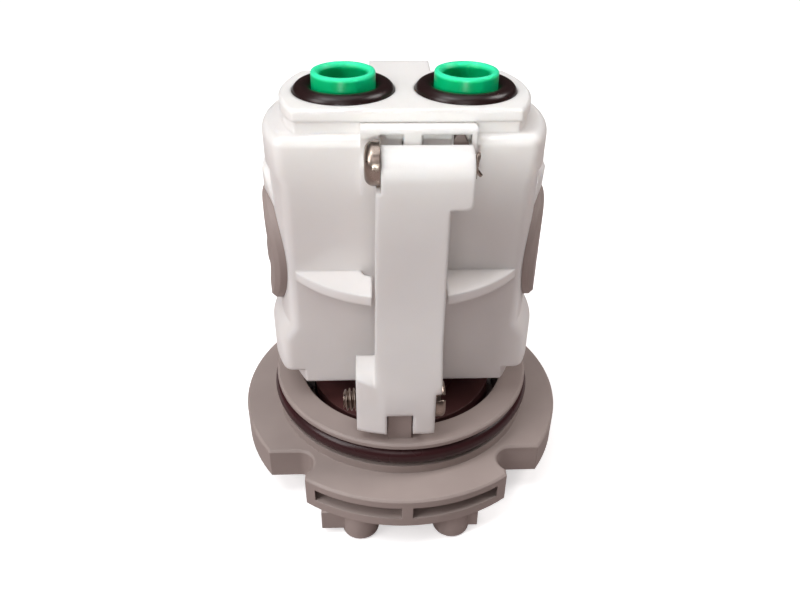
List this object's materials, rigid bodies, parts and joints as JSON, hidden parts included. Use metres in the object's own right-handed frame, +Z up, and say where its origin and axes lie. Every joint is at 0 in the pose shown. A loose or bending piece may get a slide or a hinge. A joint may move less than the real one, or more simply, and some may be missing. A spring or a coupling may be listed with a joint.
{
  "type": "faucet cartridge",
  "caption": "Pressure-balancing mixer cartridge: notched flange with ringed collar, flat-walled body, green inlet tubes and a front lever that rocks as the spindle turns.",
  "frame": {"origin": "on the collar's axis, in the plane of the four feet", "axes": "+Z up the collar's axis towards the inlets, -Y towards the lever, X along the balance spool"},
  "size_m": [0.064, 0.064, 0.0782],
  "materials": {
    "grey_plastic": "satin moulded",
    "white_plastic": "smooth moulded",
    "green_plastic": "smooth moulded",
    "pale_plastic": "smooth moulded",
    "brown_plastic": "satin moulded",
    "black_rubber": "satin",
    "steel": "polished",
    "brass": "turned",
    "ceramic": "lapped ceramic"
  },
  "bodies": {
    "root": {"flange_base": "grey_plastic", "collar_o_ring": "black_rubber", "valve_housing": "white_plastic", "spool_sleeve": "steel", "left_spool_cap": "grey_plastic", "right_spool_cap": "grey_plastic", "left_cap_o_ring": "black_rubber", "right_cap_o_ring": "black_rubber", "left_inlet_capsule": "green_plastic", "right_inlet_capsule": "green_plastic", "left_inlet_o_ring": "black_rubber", "right_inlet_o_ring": "black_rubber", "left_check_spring": "steel", "right_check_spring": "steel", "fixed_disc": "ceramic", "disc_gasket": "black_rubber", "lower_pivot_screw": "steel", "plunger_spring": "steel", "plunger_plug": "white_plastic", "lever_buffer": "black_rubber"},
    "spindle": {"spindle": "brass", "spindle_o_rings": "black_rubber", "spindle_circlip": "steel", "disc_carrier": "brown_plastic", "moving_disc": "ceramic"},
    "lever": {"lever_arm": "white_plastic", "upper_pivot_pin": "steel", "split_pin": "steel"},
    "plunger": {"flow_plunger": "white_plastic", "plunger_o_ring": "black_rubber"},
    "spool": {"balance_spool": "steel"},
    "left_poppet": {"left_check_poppet": "pale_plastic"},
    "right_poppet": {"right_check_poppet": "pale_plastic"}
  },
  "joints": [
    {"name": "spindle_turn", "type": "hinge", "parent": "root", "child": "spindle", "pos_m": [0, 0, 0.012], "axis": [0, 0, 1], "range_deg": [-55, 55]},
    {"name": "lever_rock", "type": "hinge", "parent": "root", "child": "lever", "pos_m": [0, -0.0207, 0.02615], "axis": [1, 0, 0], "range_deg": [-1.36, 1.36]},
    {"name": "plunger_slide", "type": "slide", "parent": "root", "child": "plunger", "axis": [0, 1, 0], "range_m": [-0.00102, 0.00102]},
    {"name": "spool_slide", "type": "slide", "parent": "root", "child": "spool", "axis": [1, 0, 0], "range_m": [-0.002, 0.002]},
    {"name": "left_check_slide", "type": "slide", "parent": "root", "child": "left_poppet", "axis": [0, 0, 1], "range_m": [-0.0018, 0], "stiffness_N_per_m": 50, "springref_m": 0.001, "deforming": ["left_check_spring"]},
    {"name": "right_check_slide", "type": "slide", "parent": "root", "child": "right_poppet", "axis": [0, 0, 1], "range_m": [-0.0018, 0], "stiffness_N_per_m": 50, "springref_m": 0.001, "deforming": ["right_check_spring"]}
  ],
  "couplings": [
    {"joint": "lever_rock", "follows": "spindle_turn", "ratio": -0.0245},
    {"joint": "plunger_slide", "follows": "spindle_turn", "m_per_rad": 0.0010535}
  ]
}
